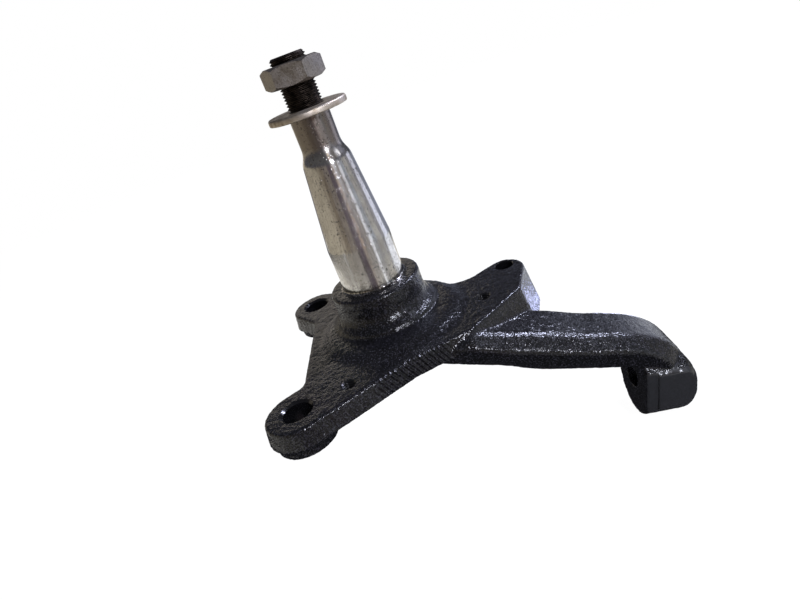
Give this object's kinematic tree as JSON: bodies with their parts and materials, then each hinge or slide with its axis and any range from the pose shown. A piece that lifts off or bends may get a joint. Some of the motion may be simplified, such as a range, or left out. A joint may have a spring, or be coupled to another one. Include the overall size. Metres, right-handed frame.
{
  "type": "steering knuckle",
  "caption": "Forged steering knuckle: lobed flange, gooseneck arm to a tapered ball-stud boss, and a turned tapered spindle with its washer and thin hex nut.",
  "frame": {"origin": "on the spindle's axis, at the collar face that the inner bearing seats against", "axes": "+Z outboard along the spindle, +X up the car towards the ball-joint boss, +Y along the car, away from the arm"},
  "size_m": [0.2281, 0.1585, 0.249],
  "materials": {
    "forging": "black satin coat over a rough hot-forged steel surface; the spindle is bare turned steel",
    "washer_steel": "bare stamped steel, lightly stained",
    "nut_steel": "bare machined steel, lightly stained"
  },
  "bodies": {
    "root": {"knuckle": "forging", "washer": "washer_steel", "nut": "nut_steel"}
  },
  "joints": []
}
